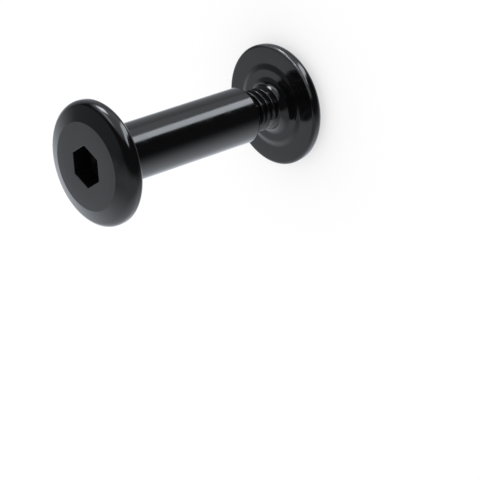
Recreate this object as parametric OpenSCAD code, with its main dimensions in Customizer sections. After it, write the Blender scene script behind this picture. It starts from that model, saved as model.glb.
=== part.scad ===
// Furniture connector: a sleeve nut and a bolt, both with wide bevelled heads and hex sockets.
// It stands on the bolt's head, with the axis along Z and the sleeve nut on top.

/* [Heads] */
// Diameter of both heads
head_d = 17; // [16.5:0.5:18.5]
// Diameter of the flat on the outer face
face_d = 12; // [10.5:0.5:13]
// Slope of the bevel around the flat
bevel_angle = 20; // [18:1:24]
// Rounding of the full rim, from the bevel to the bearing face
rim_r = 1.2; // [1.1:0.1:1.4]

/* [Hex sockets] */
// Size of the key that drives both heads, across its flats
key_af = 5; // [4:0.1:5.2]
// Free space around the key, on the width across flats
key_clearance = 0.05; // [0.02:0.01:0.1]
// Depth of the sockets' straight walls
socket_h = 2.8; // [2.2:0.1:3.2]
// Diameter of the drilled point below each socket
socket_point_d = 4; // [3:0.1:4]

/* [Sleeve nut] */
// Thickness of the sleeve nut's head, from bearing face to outer face
nut_head_h = 2.8; // [2.5:0.1:2.9]
// Outside diameter of the barrel
barrel_d = 7.8; // [7.6:0.1:9]
// Length of the barrel under the head
barrel_l = 24.2; // [23:0.1:40]
// Rounding of the barrel's open end
barrel_edge_r = 0.4; // [0.2:0.05:0.45]
// Fillet between the barrel and the head
barrel_fillet_r = 0.7; // [0.3:0.1:1]
// Chamfer at the mouth of the bore
mouth_chamfer = 0.3; // [0.1:0.05:0.35]

/* [Thread] */
// Outside diameter of the thread
thread_d = 5.9; // [5:0.1:6]
// Distance from one turn of the thread to the next
thread_pitch = 1; // [0.75:0.05:1.25]
// Facets in one turn of the thread
thread_facets = 32; // [24:4:40]
// Share of a turn in which the thread rises to its full height at both ends
thread_runout = 0.3; // [0.25:0.05:1]
// Direction in which the thread begins, in degrees about the axis
thread_start = 202.5; // [0:22.5:337.5]

/* [Bolt] */
// Thickness of the bolt's head, from bearing face to outer face
bolt_head_h = 2.5; // [2.4:0.1:2.9]
// Length of the shank under the head
shank_l = 18; // [14:0.5:19]
// Chamfer at the shank's tip
tip_chamfer = 0.4; // [0.2:0.1:0.8]
// Fillet between the shank and the head
neck_fillet_r = 1.2; // [0.5:0.1:1.5]
// Length that the start of the thread takes off the fillet
neck_cut = 0.3; // [0:0.1:0.4]
// Diameter of the shallow boss under the head
boss_d = 11.6; // [10:0.2:12.4]
// Height of the shallow boss above the bearing face
boss_h = 0.2; // [0.1:0.05:0.4]

/* [Assembly] */
// Open gap between the bearing face of the bolt's head and the end of the barrel
gap = 5.5; // [2:0.5:12]
// Radial clearance between the thread and the bore
thread_clearance = 0.06; // [0.03:0.01:0.1]
// Room between the tip and the bottom of the bore with the gap closed
tip_clearance = 1; // [0.5:0.1:1.5]

/* [Hidden] */
$fn = 96;

// Length by which a cutting tool runs past the face that it cuts
overrun = 1;
// Half of the point angle of a drill
drill_half_angle = 59;
// Slope of the sides of the boss
boss_slope = 30;
// Width of the flat land at the end of the neck, around the core of the thread
neck_land = 0.1;

head_r = head_d / 2;
face_r = face_d / 2;
// Centre of the rim's rounding, at the depth under the flat where the bevel is tangent to it
rim_c = head_r - rim_r;
rim_depth = (rim_r + (rim_c - face_r) * sin(bevel_angle)) / cos(bevel_angle);

socket_af = key_af + key_clearance;
socket_corner_d = socket_af / cos(30);
socket_point_h = socket_point_d / 2 / tan(drill_half_angle);

barrel_r = barrel_d / 2;
thread_r = thread_d / 2;
// Metric form: crest and root flats of an eighth and a quarter of the pitch, flanks at 30 degrees
crest_w = thread_pitch / 8;
flank_w = thread_pitch * 5 / 16;
ridge_w = crest_w + 2 * flank_w;
thread_depth = flank_w / tan(30);
root_r = thread_r - thread_depth;
neck_l = boss_h + neck_fillet_r - neck_cut;
neck_end_r = thread_r + neck_fillet_r - sqrt(pow(neck_fillet_r, 2) - pow(neck_cut, 2));
// Sides of the thread along its whole length, and along the rise at each end
ridge_sides = floor((shank_l - tip_chamfer - neck_l - flank_w - ridge_w) / thread_pitch * thread_facets);
rise_sides = thread_facets * thread_runout;
bore_r = thread_r + thread_clearance;
bore_l = shank_l + tip_clearance;
bore_point_h = bore_r / tan(drill_half_angle);

boss_r = boss_d / 2;
boss_top_r = boss_r - boss_h / tan(boss_slope);

barrel_z = bolt_head_h + gap;
nut_face_z = barrel_z + barrel_l + nut_head_h;

// Half section of a head of thickness h. The bearing face is at height 0 and the outer face at h.
module head_section(h) {
    rim_z = h - rim_depth;
    polygon([
        [0, 0],
        [rim_c, 0],
        [rim_c, rim_z],
        [rim_c + rim_r * sin(bevel_angle), rim_z + rim_r * cos(bevel_angle)],
        [face_r, h],
        [0, h],
    ]);
    translate([rim_c, rim_z]) intersection() {
        circle(rim_r);
        translate([-rim_r, -rim_z]) square([2 * rim_r, h]);
    }
}

// Half section of the barrel, from its open end at height 0 to the fillet under the head
module barrel_section() {
    polygon([
        [0, 0],
        [barrel_r - barrel_edge_r, 0],
        [barrel_r - barrel_edge_r, barrel_edge_r],
        [barrel_r, barrel_edge_r],
        [barrel_r, barrel_l],
        [0, barrel_l],
    ]);
    translate([barrel_r - barrel_edge_r, barrel_edge_r]) circle(barrel_edge_r);
    difference() {
        translate([0, barrel_l - barrel_fillet_r]) square([barrel_r + barrel_fillet_r, barrel_fillet_r]);
        translate([barrel_r + barrel_fillet_r, barrel_l - barrel_fillet_r]) circle(barrel_fillet_r);
    }
}

// Half section of the blind bore, with its chamfered mouth at height 0
module bore_section() {
    polygon([
        [0, -overrun],
        [bore_r + mouth_chamfer + overrun, -overrun],
        [bore_r, mouth_chamfer],
        [bore_r, bore_l],
        [0, bore_l + bore_point_h],
    ]);
}

// Half section of the shallow boss on the bearing face of the bolt's head
module boss_section() {
    polygon([
        [0, 0],
        [boss_r, 0],
        [boss_top_r, boss_h],
        [0, boss_h],
    ]);
}

// Half section of the neck, from the fillet on the boss to the cone where the thread begins
module neck_section() {
    polygon([
        [0, 0],
        [neck_end_r, 0],
        [neck_end_r, neck_l],
        [root_r + neck_land, neck_l + flank_w - neck_land],
        [0, neck_l + flank_w - neck_land],
    ]);
    difference() {
        translate([0, boss_h]) square([thread_r + neck_fillet_r, neck_l - boss_h]);
        translate([thread_r + neck_fillet_r, boss_h + neck_fillet_r]) circle(neck_fillet_r);
    }
}

// Point at a radius and a height on the side number i of the thread
function thread_point(i, r, z) = [r * cos(i * 360 / thread_facets), r * sin(i * 360 / thread_facets), z];

// Share of its full height that the thread has at side i
function thread_rise(i) = min(1, (i + 1) / rise_sides, (ridge_sides + 1 - i) / rise_sides);

// Height of the foot of the thread at side i
function ridge_z(i) = neck_l + flank_w + thread_pitch * i / thread_facets;

// Section of the thread at side i: foot, both corners of the crest, foot
function ridge_section(i) = let (z = ridge_z(i), r = root_r + thread_depth * thread_rise(i)) [
    thread_point(i, root_r, z),
    thread_point(i, r, z + flank_w),
    thread_point(i, r, z + flank_w + crest_w),
    thread_point(i, root_r, z + ridge_w),
];

// Ring of points around the core, at one radius and one height
function core_ring(r, z) = [for (i = [0 : thread_facets - 1]) thread_point(i, r, z)];

// Threaded rod in one closed solid: the core between two flat ends, and the thread wound around it
module threaded_rod() {
    n = thread_facets;
    m = ridge_sides;
    rings = 4 * (m + 1);
    points = concat(
        [for (i = [0 : m]) each ridge_section(i)],
        core_ring(root_r, 0),
        core_ring(root_r, shank_l - tip_chamfer),
        core_ring(root_r - tip_chamfer, shank_l)
    );
    function ridge(i, corner) = 4 * i + corner;
    function foot(i) = rings + i % n;
    function shoulder(i) = rings + n + i % n;
    function tip(i) = rings + 2 * n + i % n;
    ridge_faces = [for (i = [0 : m - 1]) each [
        [ridge(i, 0), ridge(i, 1), ridge(i + 1, 1)],
        [ridge(i, 0), ridge(i + 1, 1), ridge(i + 1, 0)],
        [ridge(i, 1), ridge(i, 2), ridge(i + 1, 2), ridge(i + 1, 1)],
        [ridge(i, 2), ridge(i, 3), ridge(i + 1, 3)],
        [ridge(i, 2), ridge(i + 1, 3), ridge(i + 1, 2)],
    ]];
    ridge_ends = [
        [ridge(0, 0), ridge(0, 3), ridge(0, 2), ridge(0, 1)],
        [ridge(m, 0), ridge(m, 1), ridge(m, 2), ridge(m, 3)],
    ];
    root_faces = [for (i = [0 : m - n - 1])
        [ridge(i, 3), ridge(i + n, 0), ridge(i + n + 1, 0), ridge(i + 1, 3)]];
    lower_core = [for (i = [0 : n - 2]) [foot(i), ridge(i, 0), ridge(i + 1, 0), foot(i + 1)]];
    lower_seam = [foot(n - 1), ridge(n - 1, 0), ridge(n, 0), ridge(0, 3), ridge(0, 0), foot(0)];
    upper_core = [for (i = [m - n + 1 : m - 1])
        [ridge(i, 3), shoulder(i), shoulder(i + 1), ridge(i + 1, 3)]];
    upper_seam = [ridge(m - n + 1, 3), ridge(m - n, 3), ridge(m, 0), ridge(m, 3), shoulder(m), shoulder(m + 1)];
    tip_faces = [for (i = [0 : n - 1]) [shoulder(i), tip(i), tip(i + 1), shoulder(i + 1)]];
    caps = [
        [for (i = [0 : n - 1]) foot(i)],
        [for (i = [0 : n - 1]) tip(n - 1 - i)],
    ];
    polyhedron(points, concat(ridge_faces, ridge_ends, root_faces, lower_core, [lower_seam],
                              upper_core, [upper_seam], tip_faces, caps));
}

// Hex socket with a drilled point, cut downwards from its mouth at height 0
module hex_socket() {
    translate([0, 0, -socket_h]) cylinder(h = socket_h + overrun, d = socket_corner_d, $fn = 6);
    translate([0, 0, -socket_h]) cylinder(h = socket_h, d = socket_point_d);
    translate([0, 0, -socket_h - socket_point_h]) cylinder(h = socket_point_h, d1 = 0, d2 = socket_point_d);
}

module sleeve_nut() {
    color("dimgray")
    difference() {
        translate([0, 0, barrel_z]) rotate_extrude() difference() {
            union() {
                barrel_section();
                translate([0, barrel_l]) head_section(nut_head_h);
            }
            bore_section();
        }
        translate([0, 0, nut_face_z]) hex_socket();
    }
}

module bolt() {
    color("slategray")
    difference() {
        union() {
            rotate_extrude() {
                translate([0, bolt_head_h]) mirror([0, 1]) head_section(bolt_head_h);
                translate([0, bolt_head_h]) boss_section();
                translate([0, bolt_head_h]) neck_section();
            }
            translate([0, 0, bolt_head_h]) rotate(thread_start) threaded_rod();
        }
        mirror([0, 0, 1]) hex_socket();
    }
}

sleeve_nut();
bolt();
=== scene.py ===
"""Looks of the furniture connector: gloss black steel, turned heads with hex sockets, a cut thread."""

import math

import bmesh
import bpy
from mathutils import Matrix, Vector


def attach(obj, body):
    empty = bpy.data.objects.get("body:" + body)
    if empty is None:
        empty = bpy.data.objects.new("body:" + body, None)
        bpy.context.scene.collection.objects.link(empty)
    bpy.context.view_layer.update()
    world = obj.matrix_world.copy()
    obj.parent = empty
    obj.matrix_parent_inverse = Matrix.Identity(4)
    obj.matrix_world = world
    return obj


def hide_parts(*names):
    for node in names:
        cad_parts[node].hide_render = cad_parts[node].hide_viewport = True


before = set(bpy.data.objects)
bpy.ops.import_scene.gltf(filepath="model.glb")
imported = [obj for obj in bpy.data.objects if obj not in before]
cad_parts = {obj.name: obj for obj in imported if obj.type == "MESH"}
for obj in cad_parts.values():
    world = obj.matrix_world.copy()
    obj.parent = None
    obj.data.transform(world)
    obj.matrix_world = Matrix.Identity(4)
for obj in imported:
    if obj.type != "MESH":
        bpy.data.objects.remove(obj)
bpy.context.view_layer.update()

MM = 0.001

# Heads
HEAD_R = 8.5 * MM
NUT_HEAD_H = 2.8 * MM
BOLT_HEAD_H = 2.5 * MM
FACE_R = 6.0 * MM
BEVEL_SLOPE = math.radians(20)
RIM_ROUND = 1.2 * MM
# Straight band of the rim, next to the rounded corner of the bearing face
RIM_BAND = 0.35 * MM
FACE_EDGE = 0.07 * MM
FACE_EDGE_STEPS = 3

# Hex sockets
SOCKET_AF = 5.05 * MM
SOCKET_DEPTH = 2.8 * MM
SOCKET_POINT_R = 2.0 * MM
DRILL_HALF_ANGLE = math.radians(59)
SOCKET_EDGE = 0.06 * MM
SOCKET_EDGE_STEPS = 3
# Flat strip round the socket's edge, which keeps the shading of the face even
SOCKET_LIP = 0.04 * MM
SOCKET_RING_R = 3.7 * MM

# Sleeve nut
BARREL_R = 3.9 * MM
BARREL_L = 24.2 * MM
BARREL_EDGE = 0.4 * MM
BARREL_EDGE_STEPS = 6
BARREL_FILLET = 0.7 * MM
BARREL_FILLET_STEPS = 8
BORE_R = 3.01 * MM
BORE_L = 19 * MM
MOUTH_CHAMFER = 0.3 * MM

# Bolt
GAP = 5.5 * MM
BOSS_R = 5.8 * MM
BOSS_H = 0.2 * MM
BOSS_SLOPE = math.radians(17)
BOSS_EDGE = 0.22 * MM
BOSS_EDGE_STEPS = 4
NECK_FILLET = 1.2 * MM
NECK_CUT = 0.3 * MM
NECK_EDGE = 0.05 * MM
NECK_EDGE_STEPS = 4
SHANK_L = 18 * MM
TIP_CHAMFER = 0.4 * MM

# Metric thread, with rounded crests
THREAD_R = 2.95 * MM
PITCH = 1.0 * MM
CREST_W = PITCH / 8
FLANK_W = PITCH * 5 / 16
FLANK_ANGLE = math.radians(30)
RIDGE_W = CREST_W + 2 * FLANK_W
CREST_ROUND = CREST_W * math.sqrt(3) / 2
CREST_STEPS = 4
THREAD_DEPTH = FLANK_W / math.tan(FLANK_ANGLE)
ROOT_R = THREAD_R - THREAD_DEPTH
RUNOUT_TURNS = 0.12
THREAD_START_ANGLE = math.radians(202.5)
# Turns wound below the thread's start, which the trim takes away
SPARE_TURNS = 2

# Fineness of the turned meshes: steps in one turn, a multiple of the socket's six sides
TURN_STEPS = 192
FILLET_STEPS = 14
RIM_STEPS = 24
EDGE_STEPS = 10
MERGE_DISTANCE = 1e-7
SAME_PLACE = 0.01 * MM
SHARP_ANGLE = math.radians(40)

# Wear of the coat on the edges of the bearing faces and the crests of the thread, and painted highlight:
# bare steel laid most on the one side that the softboxes light, where it stands for glints
EDGE_WEAR_AND_HIGHLIGHT_REACH = 0.2 * MM
CREST_WEAR_AND_HIGHLIGHT = 0.4
CREST_WEAR_AND_HIGHLIGHT_LEAST = 0.03
# Side about the axis where the edges and crests face the softboxes, and its span: the painted highlight
# is laid there
HIGHLIGHT_SIDE = math.radians(331)
HIGHLIGHT_SPAN = math.radians(46)

BARREL_END_Z = BOLT_HEAD_H + GAP
NUT_SEAT_Z = BARREL_END_Z + BARREL_L
NUT_FACE_Z = NUT_SEAT_Z + NUT_HEAD_H
NECK_END_Z = BOLT_HEAD_H + BOSS_H + NECK_FILLET - NECK_CUT
# Height of the thread's lower foot where its first turn begins to rise
THREAD_START_Z = NECK_END_Z + FLANK_W
THREAD_END_Z = BOLT_HEAD_H + SHANK_L - TIP_CHAMFER


def drawn_outline(bm, points):
    """Draws an outline of (radius, height) points beside the axis, as corners and edges."""
    verts = [bm.verts.new((r, 0, z)) for r, z in points]
    edges = [bm.edges.new(pair) for pair in zip(verts, verts[1:])]
    return verts + edges


def turned_shell(bm, points):
    """Turns an outline of (radius, height) points about Z."""
    bmesh.ops.spin(
        bm, geom=drawn_outline(bm, points), cent=(0, 0, 0), axis=(0, 0, 1),
        angle=math.tau, steps=TURN_STEPS, use_merge=True,
    )
    bmesh.ops.remove_doubles(bm, verts=bm.verts, dist=MERGE_DISTANCE)


def on_ring(vert, radius, height):
    return (
        abs(math.hypot(vert.co.x, vert.co.y) - radius) < SAME_PLACE
        and abs(vert.co.z - height) < SAME_PLACE
    )


def ring_edges(bm, radius, height):
    """The edges of the circle at one radius and one height."""
    return [e for e in bm.edges if all(on_ring(v, radius, height) for v in e.verts)]


def round_ring(bm, corner, reach, segments):
    """Rounds the edge that runs round the piece at a (radius, height) corner."""
    bmesh.ops.bevel(
        bm, geom=ring_edges(bm, *corner), offset=reach, offset_type="OFFSET",
        segments=segments, profile=0.5, affect="EDGES", material=-1, clamp_overlap=True,
    )


def arc(centre, radius, first, last, steps):
    """Points of an arc in an outline, between two angles from the vertical."""
    angles = [first + (last - first) * step / steps for step in range(steps + 1)]
    return [(centre[0] + radius * math.sin(a), centre[1] + radius * math.cos(a)) for a in angles]


def head_outline(seat_z, outer_z):
    """Outline of a head from the edge of its flat round the rim to its bearing face."""
    height = abs(outer_z - seat_z)
    outward = math.copysign(1, outer_z - seat_z)
    rim_c = HEAD_R - RIM_ROUND
    rim_z = height - (RIM_ROUND + (rim_c - FACE_R) * math.sin(BEVEL_SLOPE)) / math.cos(BEVEL_SLOPE)
    sideways = math.radians(90)
    points = [(FACE_R, height)]
    points += arc((rim_c, rim_z), RIM_ROUND, BEVEL_SLOPE, sideways, RIM_STEPS)
    edge_round = rim_z - RIM_BAND
    points += arc((HEAD_R - edge_round, edge_round), edge_round, sideways, math.pi, EDGE_STEPS)
    return [(r, seat_z + outward * z) for r, z in points]


def middle_of_edge(head):
    """The middle of the rounded corner that ends a head's outline at its bearing face."""
    return head[-1 - EDGE_STEPS // 2]


def ring_radius(radius):
    return lambda angle: radius


def hexagon_radius(half_width):
    """Distance from the axis to a hexagon with corners on the X axis, by the angle about it."""
    sixth = math.radians(60)
    return lambda angle: half_width / math.cos(angle % sixth - sixth / 2)


def carried_loop(bm, loop, height, radius_at):
    """Extrudes a loop of edges to a height, onto a new outline about the axis. Gives the new loop."""
    made = bmesh.ops.extrude_edge_only(bm, edges=loop)["geom"]
    for vert in made:
        if isinstance(vert, bmesh.types.BMVert):
            angle = math.atan2(vert.co.y, vert.co.x)
            radius = radius_at(angle)
            vert.co = (radius * math.cos(angle), radius * math.sin(angle), height)
    return [e for e in made if isinstance(e, bmesh.types.BMEdge)]


def hex_socket(bm, face_z, inward):
    """Cuts a hex socket with a drilled point into the open ring on a face. inward is +1 or -1 along Z."""
    loop = ring_edges(bm, SOCKET_RING_R, face_z)
    loop = carried_loop(bm, loop, face_z, hexagon_radius(SOCKET_AF / 2 + SOCKET_EDGE + SOCKET_LIP))
    for step in range(SOCKET_EDGE_STEPS + 1):
        angle = math.radians(90) * step / SOCKET_EDGE_STEPS
        half_width = SOCKET_AF / 2 + SOCKET_EDGE * (1 - math.sin(angle))
        depth = SOCKET_EDGE * (1 - math.cos(angle))
        loop = carried_loop(bm, loop, face_z + inward * depth, hexagon_radius(half_width))
    floor_z = face_z + inward * SOCKET_DEPTH
    foot = carried_loop(bm, loop, floor_z, hexagon_radius(SOCKET_AF / 2))
    point_ring = carried_loop(bm, foot, floor_z, ring_radius(SOCKET_POINT_R))
    cone = bmesh.ops.extrude_edge_only(bm, edges=point_ring)["geom"]
    tip = [v for v in cone if isinstance(v, bmesh.types.BMVert)]
    tip_z = floor_z + inward * SOCKET_POINT_R / math.tan(DRILL_HALF_ANGLE)
    bmesh.ops.pointmerge(bm, verts=tip, merge_co=(0, 0, tip_z))


def mark_wear_and_highlight(bm, edge):
    """Marks where the coat wears first and where highlight is painted: a ring at a (radius, height) edge
    and the thread's crests, most on the side the softboxes light.
    """
    wear_and_highlight = bm.verts.layers.float.new("wear_and_highlight")
    for vert in bm.verts:
        radius = math.hypot(vert.co.x, vert.co.y)
        # Painted highlight: the mark is strongest on the side the softboxes light and fades away from it
        turned = math.atan2(vert.co.y, vert.co.x) - HIGHLIGHT_SIDE
        side = max(0, 1 - (math.remainder(turned, math.tau) / HIGHLIGHT_SPAN) ** 2)
        off_edge = math.hypot(radius - edge[0], vert.co.z - edge[1])
        on_crest = abs(radius - THREAD_R) < SAME_PLACE and THREAD_START_Z < vert.co.z < THREAD_END_Z
        if on_crest:
            vert[wear_and_highlight] = max(CREST_WEAR_AND_HIGHLIGHT_LEAST, CREST_WEAR_AND_HIGHLIGHT * side)
        else:
            vert[wear_and_highlight] = side * max(0, 1 - off_edge / EDGE_WEAR_AND_HIGHLIGHT_REACH)


def finished_piece(name, bm, wear_and_highlight_edge):
    """Joins the seams of the mesh, marks its wear and painted highlight and makes it a smooth object at
    the origin.
    """
    bmesh.ops.remove_doubles(bm, verts=bm.verts, dist=MERGE_DISTANCE)
    bmesh.ops.recalc_face_normals(bm, faces=bm.faces)
    mark_wear_and_highlight(bm, wear_and_highlight_edge)
    for face in bm.faces:
        face.smooth = True
    mesh = bpy.data.meshes.new(name)
    bm.to_mesh(mesh)
    bm.free()
    mesh.set_sharp_from_angle(angle=SHARP_ANGLE)
    piece = bpy.data.objects.new(name, mesh)
    bpy.context.scene.collection.objects.link(piece)
    even = piece.modifiers.new("even_shading", "WEIGHTED_NORMAL")
    even.keep_sharp = True
    return piece


def sleeve_nut_piece():
    bm = bmesh.new()
    head = head_outline(NUT_SEAT_Z, NUT_FACE_Z)
    turned_shell(bm, [
        (SOCKET_RING_R, NUT_FACE_Z),
        *head,
        (BARREL_R, NUT_SEAT_Z),
        (BARREL_R, BARREL_END_Z),
        (BORE_R + MOUTH_CHAMFER, BARREL_END_Z),
        (BORE_R, BARREL_END_Z + MOUTH_CHAMFER),
        (BORE_R, BARREL_END_Z + BORE_L),
        (0, BARREL_END_Z + BORE_L + BORE_R / math.tan(DRILL_HALF_ANGLE)),
    ])
    round_ring(bm, head[0], FACE_EDGE, FACE_EDGE_STEPS)
    round_ring(bm, (BARREL_R, NUT_SEAT_Z), BARREL_FILLET, BARREL_FILLET_STEPS)
    round_ring(bm, (BARREL_R, BARREL_END_Z), BARREL_EDGE, BARREL_EDGE_STEPS)
    hex_socket(bm, NUT_FACE_Z, -1)
    return finished_piece("sleeve_nut_body", bm, middle_of_edge(head))


def ridge_outline(z):
    """Outline of one ridge of the thread from its foot at z: foot, flank, rounded crest, flank, foot."""
    points = [(ROOT_R, z)]
    for step in range(CREST_STEPS + 1):
        angle = (math.radians(90) - FLANK_ANGLE) * (2 * step / CREST_STEPS - 1)
        points.append((
            THREAD_R - CREST_ROUND * (1 - math.cos(angle)),
            z + RIDGE_W / 2 + CREST_ROUND * math.sin(angle),
        ))
    points.append((ROOT_R, z + RIDGE_W))
    return points


def thread_turns(co):
    """How many turns a point of the thread lies from the start of its first turn."""
    angle = math.atan2(co.y, co.x) % math.tau / math.tau
    along = (co.z - THREAD_START_Z) / PITCH - angle
    return math.floor(along + SAME_PLACE / PITCH) + angle


def cut_thread(bm):
    """Winds the thread's outline into a helix and trims it square at both ends of the shank."""
    points = []
    for turn in range(-SPARE_TURNS, math.ceil(SHANK_L / PITCH)):
        points += ridge_outline(THREAD_START_Z + turn * PITCH)
    bmesh.ops.spin(
        bm, geom=drawn_outline(bm, points), cent=(0, 0, 0), axis=(0, 0, 1),
        dvec=(0, 0, PITCH / TURN_STEPS), angle=math.tau, steps=TURN_STEPS, use_merge=False,
    )
    bmesh.ops.remove_doubles(bm, verts=bm.verts, dist=MERGE_DISTANCE)
    last_turn = (THREAD_END_Z - RIDGE_W - THREAD_START_Z) / PITCH
    for vert in bm.verts:
        turns = thread_turns(vert.co)
        rise = max(0, min(1, turns / RUNOUT_TURNS, (last_turn - turns) / RUNOUT_TURNS))
        radius = math.hypot(vert.co.x, vert.co.y)
        scale = (ROOT_R + (radius - ROOT_R) * rise) / radius
        vert.co.x *= scale
        vert.co.y *= scale
    for height, side in ((THREAD_START_Z, -1), (THREAD_END_Z, 1)):
        bmesh.ops.bisect_plane(
            bm, geom=bm.verts[:] + bm.edges[:] + bm.faces[:], dist=MERGE_DISTANCE,
            plane_co=(0, 0, height), plane_no=(0, 0, side), clear_outer=True,
        )
    bmesh.ops.rotate(bm, verts=bm.verts, matrix=Matrix.Rotation(THREAD_START_ANGLE, 3, "Z"))


def open_edges_at(bm, height):
    return [
        e for e in bm.edges
        if e.is_boundary and all(abs(v.co.z - height) < SAME_PLACE for v in e.verts)
    ]


def open_ring_at(bm, height):
    """The thread's open edges at one height, with its corners gathered on the even steps of the turn."""
    step = math.tau / TURN_STEPS
    for vert in {v for e in open_edges_at(bm, height) for v in e.verts}:
        angle = step * round(math.atan2(vert.co.y, vert.co.x) / step)
        radius = math.hypot(vert.co.x, vert.co.y)
        vert.co = (radius * math.cos(angle), radius * math.sin(angle), height)
    bmesh.ops.remove_doubles(bm, verts=bm.verts, dist=MERGE_DISTANCE)
    return open_edges_at(bm, height)


def neck_fillet():
    """Outline of the fillet from the boss to the neck's end, where the thread begins."""
    last = math.radians(90) - math.asin(NECK_CUT / NECK_FILLET)
    points = []
    for step in range(FILLET_STEPS + 1):
        angle = last * step / FILLET_STEPS
        points.append((
            THREAD_R + NECK_FILLET * (1 - math.sin(angle)),
            BOLT_HEAD_H + BOSS_H + NECK_FILLET * (1 - math.cos(angle)),
        ))
    return points


def bolt_piece():
    bm = bmesh.new()
    cut_thread(bm)
    tip_ring = carried_loop(
        bm, open_ring_at(bm, THREAD_END_Z), THREAD_END_Z + TIP_CHAMFER, ring_radius(ROOT_R - TIP_CHAMFER),
    )
    bmesh.ops.edgeloop_fill(bm, edges=tip_ring)
    head = head_outline(BOLT_HEAD_H, 0)
    boss_foot = (BOSS_R, BOLT_HEAD_H)
    boss_top = (BOSS_R - BOSS_H / math.tan(BOSS_SLOPE), BOLT_HEAD_H + BOSS_H)
    fillet = neck_fillet()
    neck_end_r, neck_end_z = fillet[-1]
    carried_loop(bm, open_ring_at(bm, THREAD_START_Z), neck_end_z, ring_radius(neck_end_r))
    turned_shell(bm, [(SOCKET_RING_R, 0), *head, boss_foot, boss_top, *fillet])
    round_ring(bm, head[0], FACE_EDGE, FACE_EDGE_STEPS)
    round_ring(bm, boss_foot, BOSS_EDGE, BOSS_EDGE_STEPS)
    round_ring(bm, boss_top, BOSS_EDGE, BOSS_EDGE_STEPS)
    round_ring(bm, fillet[-1], NECK_EDGE, NECK_EDGE_STEPS)
    hex_socket(bm, 0, 1)
    return finished_piece("bolt_body", bm, middle_of_edge(head))


# Coat and the steel under it
COAT_IOR = 1.5
COAT_TONE = (0.0025, 0.0025, 0.0028, 1)
THIN_COAT_TONE = (0.012, 0.012, 0.013, 1)
THIN_COAT_REACH = 0.12 * MM
# How nearly a face looks the way its softened edge does, from a full coat to the thinnest
THIN_COAT_FACING = (0.995, 0.9)
BARE_STEEL_AND_HIGHLIGHT_TONE = (0.36, 0.36, 0.37, 1)
ROUGHNESS_LEAST = 0.09
ROUGHNESS_MOST = 0.16
# Lumps per metre and fineness of the coat's gloss, worn patches, unevenness and turned rings
FLOW_SCALE, FLOW_DETAIL = 420, 3
PATCH_SCALE, PATCH_DETAIL = 900, 4
PEEL_SCALE, PEEL_DETAIL = 1100, 2
FINE_RING_SCALE, FINE_RING_DETAIL = 9000, 2
BROAD_RING_SCALE, BROAD_RING_DETAIL = 1300, 1
# Part of the noise that the gloss and the worn patches are spread over
FLOW_NOISE = (0.3, 0.7)
PATCH_NOISE = (0.35, 0.65)
PATCH_LEAST = 0.3
FINE_RING_DEPTH = 0.004 * MM
BROAD_RING_DEPTH = 0.06 * MM
PEEL_DEPTH = 0.01 * MM
RELIEF_STRENGTH = 0.1


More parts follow.
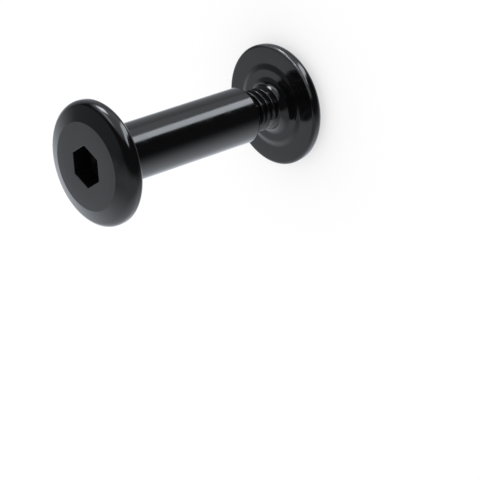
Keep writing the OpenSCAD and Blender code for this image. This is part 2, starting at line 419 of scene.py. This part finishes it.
def gloss_black_coat():
    """Gloss black coat on steel: near-black, thin on the edges, with worn bare steel that is also a
    painted highlight on one side, over fine turning marks.
    """
    coat = bpy.data.materials.new("gloss_black_coat")
    coat.use_nodes = True
    nodes, links = coat.node_tree.nodes, coat.node_tree.links
    shader = nodes["Principled BSDF"]
    shader.inputs["IOR"].default_value = COAT_IOR
    place = nodes.new("ShaderNodeTexCoord")

    def noise(scale, detail):
        texture = nodes.new("ShaderNodeTexNoise")
        texture.inputs["Scale"].default_value = scale
        texture.inputs["Detail"].default_value = detail
        return texture

    def spread(value, low, high, at_low, at_high):
        step = nodes.new("ShaderNodeMapRange")
        step.inputs["From Min"].default_value = low
        step.inputs["From Max"].default_value = high
        step.inputs["To Min"].default_value = at_low
        step.inputs["To Max"].default_value = at_high
        links.new(value, step.inputs["Value"])
        return step.outputs["Result"]

    def relief(height, depth, under=None):
        bump = nodes.new("ShaderNodeBump")
        bump.inputs["Strength"].default_value = RELIEF_STRENGTH
        bump.inputs["Distance"].default_value = depth
        links.new(height, bump.inputs["Height"])
        if under:
            links.new(under, bump.inputs["Normal"])
        return bump.outputs["Normal"]

    # Gloss that varies a little over the bath's flow
    flow = noise(FLOW_SCALE, FLOW_DETAIL)
    links.new(place.outputs["Object"], flow.inputs["Vector"])
    gloss = spread(flow.outputs["Fac"], *FLOW_NOISE, ROUGHNESS_LEAST, ROUGHNESS_MOST)
    links.new(gloss, shader.inputs["Roughness"])

    # Thin coat on the edges, where the steel shows through as a dark grey
    shape = nodes.new("ShaderNodeNewGeometry")
    softened = nodes.new("ShaderNodeBevel")
    softened.inputs["Radius"].default_value = THIN_COAT_REACH
    facing = nodes.new("ShaderNodeVectorMath")
    facing.operation = "DOT_PRODUCT"
    links.new(shape.outputs["Normal"], facing.inputs[0])
    links.new(softened.outputs["Normal"], facing.inputs[1])
    thin = spread(facing.outputs["Value"], *THIN_COAT_FACING, 0.0, 1.0)
    tone = nodes.new("ShaderNodeMix")
    tone.data_type = "RGBA"
    tone.inputs["A"].default_value = COAT_TONE
    tone.inputs["B"].default_value = THIN_COAT_TONE
    links.new(thin, tone.inputs["Factor"])

    # Bare steel where the coat is worn off in patches, and painted highlight: a lighter metallic grey on
    # the lit side of the edges and crests
    mark = nodes.new("ShaderNodeAttribute")
    mark.attribute_name = "wear_and_highlight"
    patches = noise(PATCH_SCALE, PATCH_DETAIL)
    links.new(place.outputs["Object"], patches.inputs["Vector"])
    bare_and_highlight = nodes.new("ShaderNodeMath")
    bare_and_highlight.operation = "MULTIPLY"
    links.new(mark.outputs["Fac"], bare_and_highlight.inputs[0])
    links.new(spread(patches.outputs["Fac"], *PATCH_NOISE, PATCH_LEAST, 1.0), bare_and_highlight.inputs[1])
    steel = nodes.new("ShaderNodeMix")
    steel.data_type = "RGBA"
    steel.inputs["B"].default_value = BARE_STEEL_AND_HIGHLIGHT_TONE
    links.new(tone.outputs["Result"], steel.inputs["A"])
    links.new(bare_and_highlight.outputs["Value"], steel.inputs["Factor"])
    links.new(steel.outputs["Result"], shader.inputs["Base Color"])
    links.new(bare_and_highlight.outputs["Value"], shader.inputs["Metallic"])

    # Turning marks, in rings about the axis on flat faces, under a fine unevenness of the coat
    flatten = nodes.new("ShaderNodeVectorMath")
    flatten.operation = "MULTIPLY"
    flatten.inputs[1].default_value = (1, 1, 0)
    links.new(place.outputs["Object"], flatten.inputs[0])
    radius = nodes.new("ShaderNodeVectorMath")
    radius.operation = "LENGTH"
    links.new(flatten.outputs["Vector"], radius.inputs[0])

    def rings(scale, detail):
        texture = noise(scale, detail)
        texture.noise_dimensions = "1D"
        links.new(radius.outputs["Value"], texture.inputs["W"])
        return texture.outputs["Fac"]

    peel = noise(PEEL_SCALE, PEEL_DETAIL)
    links.new(place.outputs["Object"], peel.inputs["Vector"])
    fine = relief(rings(FINE_RING_SCALE, FINE_RING_DETAIL), FINE_RING_DEPTH)
    broad = relief(rings(BROAD_RING_SCALE, BROAD_RING_DETAIL), BROAD_RING_DEPTH, fine)
    links.new(relief(peel.outputs["Fac"], PEEL_DEPTH, broad), shader.inputs["Normal"])
    return coat


# Camera at the photograph's viewing angle. The connector lies on its side there, so the camera is rolled.
VIEW_AZIMUTH = math.radians(26.5)
VIEW_ELEVATION = math.radians(37.44)
VIEW_ROLL = math.radians(-110.79)
VIEW_DISTANCE = 293.2 * MM
VIEW_TARGET_Z = 17.5 * MM
VIEW_OFFSET_RIGHT = -6.83 * MM
VIEW_OFFSET_UP = 14.32 * MM
FOCAL_PIXELS = 2197.9
PHOTO_PIXELS = 480
SENSOR_W = 36.0
CLIP_NEAR = 10 * MM
CLIP_FAR = 20

to_azimuth = Matrix.Rotation(VIEW_AZIMUTH, 3, "Z")
view_dir = to_azimuth @ Vector((0, math.cos(VIEW_ELEVATION), -math.sin(VIEW_ELEVATION)))
level_right = to_azimuth @ Vector((1, 0, 0))
level_up = level_right.cross(view_dir)
view_right = math.cos(VIEW_ROLL) * level_right + math.sin(VIEW_ROLL) * level_up
view_up = -math.sin(VIEW_ROLL) * level_right + math.cos(VIEW_ROLL) * level_up


def place_camera():
    lens = bpy.data.cameras.new("photo_camera")
    lens.sensor_width = SENSOR_W
    lens.lens = FOCAL_PIXELS / PHOTO_PIXELS * SENSOR_W
    lens.clip_start = CLIP_NEAR
    lens.clip_end = CLIP_FAR
    camera = bpy.data.objects.new("photo_camera", lens)
    target = Vector((0, 0, VIEW_TARGET_Z))
    axes = Matrix((view_right, view_up, -view_dir)).transposed()
    spot = target - VIEW_DISTANCE * view_dir - VIEW_OFFSET_RIGHT * view_right - VIEW_OFFSET_UP * view_up
    camera.matrix_world = Matrix.Translation(spot) @ axes.to_4x4()
    bpy.context.scene.collection.objects.link(camera)
    bpy.context.scene.camera = camera


# Studio round the part. Its camera looks down a little, on a white sweep that curves up behind the part.
STUDIO_TILT = math.radians(21.5)
studio_up = math.cos(STUDIO_TILT) * view_up - math.sin(STUDIO_TILT) * view_dir
studio_away = (view_dir - view_dir.dot(studio_up) * studio_up).normalized()
studio_right = view_right
STUDIO_TINT = (0.95, 1.0, 1.07, 1)

# What shines in the studio, with the edges between which each light fades in or out along a direction
SWEEP_CURVE = 0.5
SWEEP_EDGES = (-0.1, 0.9)
SWEEP_LIGHT = 1.38
SWEEP_SHADE = 0.03
BACKDROP_AWAY = (0.35, 0.75)
BACKDROP_LIGHT = 0.57
LEFT_WALL_RIGHT = (-0.9, -0.8)
LEFT_WALL_UP = (-0.3, -0.15)
LEFT_WALL_LIGHT = 0.8
LEFT_WALL_TOP_SHARE = 0.3
FRONT_FLOOR_AWAY = (-0.5, -0.15)
FRONT_FLOOR_UP = (-0.42, -0.12)
FRONT_FLOOR_LIGHT = 0.65
CEILING_UP = (0.6, 0.85)
CEILING_LIGHT = 1.1

# Long softbox to the right of the camera, between two heights
SIDE_BOX_HEIGHT = [math.radians(angle) for angle in (41.7, 44.5, 56.5, 58.5)]
SIDE_BOX_AWAY = (-0.66, -0.46, 0.35, 0.5)
SIDE_BOX_LIGHT = 6.6

# Small softbox overhead, and a dimmer strip to its left that runs towards the camera
TOP_BOX_UP = (0.5, 0.6)
TOP_BOX_RIGHT = (-0.42, -0.36, -0.07, -0.01)
TOP_BOX_AWAY = (0.1, 0.18, 0.42, 0.5)
TOP_BOX_LIGHT = 12.0
TOP_STRIP_UP = (0.72, 0.8)
TOP_STRIP_RIGHT = (-0.58, -0.5, -0.34, -0.26)
TOP_STRIP_AWAY = (-0.6, -0.5, 0.15, 0.25)
TOP_STRIP_LIGHT = 3.0


def studio_light():
    """White all round for what is matt. What is glossy mirrors a white sweep, a ceiling and softboxes."""
    world = bpy.data.worlds.new("studio")
    bpy.context.scene.world = world
    world.use_nodes = True
    nodes, links = world.node_tree.nodes, world.node_tree.links
    nodes.clear()
    place = nodes.new("ShaderNodeTexCoord")

    def along(direction):
        dot = nodes.new("ShaderNodeVectorMath")
        dot.operation = "DOT_PRODUCT"
        dot.inputs[1].default_value = direction
        links.new(place.outputs["Generated"], dot.inputs[0])
        return dot.outputs["Value"]

    def ramp(value, low, high, at_low, at_high):
        step = nodes.new("ShaderNodeMapRange")
        step.interpolation_type = "SMOOTHSTEP"
        step.inputs["From Min"].default_value = low
        step.inputs["From Max"].default_value = high
        step.inputs["To Min"].default_value = at_low
        step.inputs["To Max"].default_value = at_high
        links.new(value, step.inputs["Value"])
        return step.outputs["Result"]

    def combined(operation, first, *others):
        result = first
        for other in others:
            node = nodes.new("ShaderNodeMath")
            node.operation = operation
            links.new(result, node.inputs[0])
            links.new(other, node.inputs[1])
            result = node.outputs["Value"]
        return result

    def between(value, edges, light=1.0):
        return combined(
            "MULTIPLY",
            ramp(value, edges[0], edges[1], 0.0, light),
            ramp(value, edges[2], edges[3], 1.0, 0.0),
        )

    up, away, right = along(studio_up), along(studio_away), along(studio_right)
    sweep = ramp(along(SWEEP_CURVE * studio_away - studio_up), *SWEEP_EDGES, SWEEP_SHADE, SWEEP_LIGHT)
    backdrop = ramp(away, *BACKDROP_AWAY, 0.0, BACKDROP_LIGHT)
    ceiling = ramp(up, *CEILING_UP, 0.0, CEILING_LIGHT)
    left_wall = combined(
        "MULTIPLY",
        ramp(right, *LEFT_WALL_RIGHT, LEFT_WALL_LIGHT, 0.0),
        ramp(up, *LEFT_WALL_UP, 1.0, LEFT_WALL_TOP_SHARE),
    )
    front_floor = combined(
        "MULTIPLY",
        ramp(away, *FRONT_FLOOR_AWAY, FRONT_FLOOR_LIGHT, 0.0),
        ramp(up, *FRONT_FLOOR_UP, 1.0, 0.0),
    )
    side_box = combined(
        "MULTIPLY",
        between(combined("ARCTAN2", up, right), SIDE_BOX_HEIGHT, SIDE_BOX_LIGHT),
        between(away, SIDE_BOX_AWAY),
    )
    top_box = combined(
        "MULTIPLY",
        ramp(up, *TOP_BOX_UP, 0.0, TOP_BOX_LIGHT),
        between(right, TOP_BOX_RIGHT),
        between(away, TOP_BOX_AWAY),
    )
    top_strip = combined(
        "MULTIPLY",
        ramp(up, *TOP_STRIP_UP, 0.0, TOP_STRIP_LIGHT),
        between(right, TOP_STRIP_RIGHT),
        between(away, TOP_STRIP_AWAY),
    )
    mirrored = combined(
        "MAXIMUM", backdrop, left_wall, front_floor, ceiling, sweep, side_box, top_box, top_strip,
    )

    plain = nodes.new("ShaderNodeBackground")
    plain.inputs["Color"].default_value = (1, 1, 1, 1)
    plain.inputs["Strength"].default_value = 1.0
    studio = nodes.new("ShaderNodeBackground")
    studio.inputs["Color"].default_value = STUDIO_TINT
    links.new(mirrored, studio.inputs["Strength"])
    path = nodes.new("ShaderNodeLightPath")
    mix = nodes.new("ShaderNodeMixShader")
    links.new(path.outputs["Is Glossy Ray"], mix.inputs["Fac"])
    links.new(plain.outputs["Background"], mix.inputs[1])
    links.new(studio.outputs["Background"], mix.inputs[2])
    output = nodes.new("ShaderNodeOutputWorld")
    links.new(mix.outputs["Shader"], output.inputs["Surface"])


# Paper floor, a hair under the part, that shows only from above
FLOOR_GAP = 0.02 * MM
FLOOR_HALF_W = 1.5
PAPER_TONE = (0.45, 0.45, 0.45, 1)
PAPER_ROUGHNESS = 0.9
PAPER_GLOW = 0.58


def white_floor():
    bm = bmesh.new()
    bmesh.ops.create_grid(
        bm, x_segments=1, y_segments=1, size=FLOOR_HALF_W,
        matrix=Matrix.Translation((0, 0, -FLOOR_GAP)),
    )
    mesh = bpy.data.meshes.new("floor")
    bm.to_mesh(mesh)
    bm.free()
    floor = bpy.data.objects.new("floor", mesh)
    bpy.context.scene.collection.objects.link(floor)
    floor.visible_glossy = False
    paper = bpy.data.materials.new("white_paper")
    paper.use_nodes = True
    nodes, links = paper.node_tree.nodes, paper.node_tree.links
    shader = nodes["Principled BSDF"]
    shader.inputs["Base Color"].default_value = PAPER_TONE
    shader.inputs["Roughness"].default_value = PAPER_ROUGHNESS
    shader.inputs["Specular IOR Level"].default_value = 0
    shader.inputs["Emission Color"].default_value = (1, 1, 1, 1)
    shader.inputs["Emission Strength"].default_value = PAPER_GLOW
    from_below = nodes.new("ShaderNodeNewGeometry")
    clear = nodes.new("ShaderNodeBsdfTransparent")
    one_sided = nodes.new("ShaderNodeMixShader")
    links.new(from_below.outputs["Backfacing"], one_sided.inputs["Fac"])
    links.new(shader.outputs["BSDF"], one_sided.inputs[1])
    links.new(clear.outputs["BSDF"], one_sided.inputs[2])
    links.new(one_sided.outputs["Shader"], nodes["Material Output"].inputs["Surface"])
    floor.data.materials.append(paper)


place_camera()
studio_light()
white_floor()
bpy.context.scene.view_settings.view_transform = "Standard"

coat = gloss_black_coat()
for piece, node in ((sleeve_nut_piece(), "sleeve_nut"), (bolt_piece(), "bolt")):
    piece.data.materials.append(coat)
    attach(piece, node)
    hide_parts(node)
